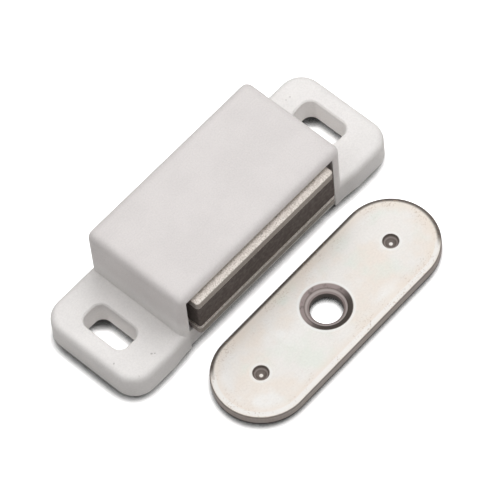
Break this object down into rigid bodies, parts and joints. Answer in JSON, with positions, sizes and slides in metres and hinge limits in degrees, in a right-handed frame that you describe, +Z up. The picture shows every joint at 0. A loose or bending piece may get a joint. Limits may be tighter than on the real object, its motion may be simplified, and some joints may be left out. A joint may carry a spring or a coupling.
{
  "type": "magnetic catch",
  "caption": "Cabinet magnetic catch: white moulded housing with slotted ears, a magnet between steel pole plates in its front window, and a loose countersunk steel strike plate.",
  "frame": {"origin": "middle of the housing's mounting face", "axes": "+Z up from the mounting face, +X along the catch, -Y the front that the magnet's pole plates look out of"},
  "size_m": [0.052, 0.0343, 0.013],
  "materials": {
    "white_plastic": "fine moulded grain, slight sheen",
    "pole_steel": "thin zinc plate, lightly grained",
    "ferrite": "dark matt sintered ferrite",
    "plated_steel": "bright zinc or nickel plate, faint tumbling marks"
  },
  "bodies": {
    "catch": {"housing": "white_plastic", "strike_plate": "plated_steel"},
    "magnet_pack": {"upper_pole_plate": "pole_steel", "magnet": "ferrite", "lower_pole_plate": "pole_steel"}
  },
  "joints": [
    {"name": "pack_float", "type": "slide", "parent": "catch", "child": "magnet_pack", "axis": [0, 1, 0], "range_m": [-0.0004, 0.0006]}
  ]
}
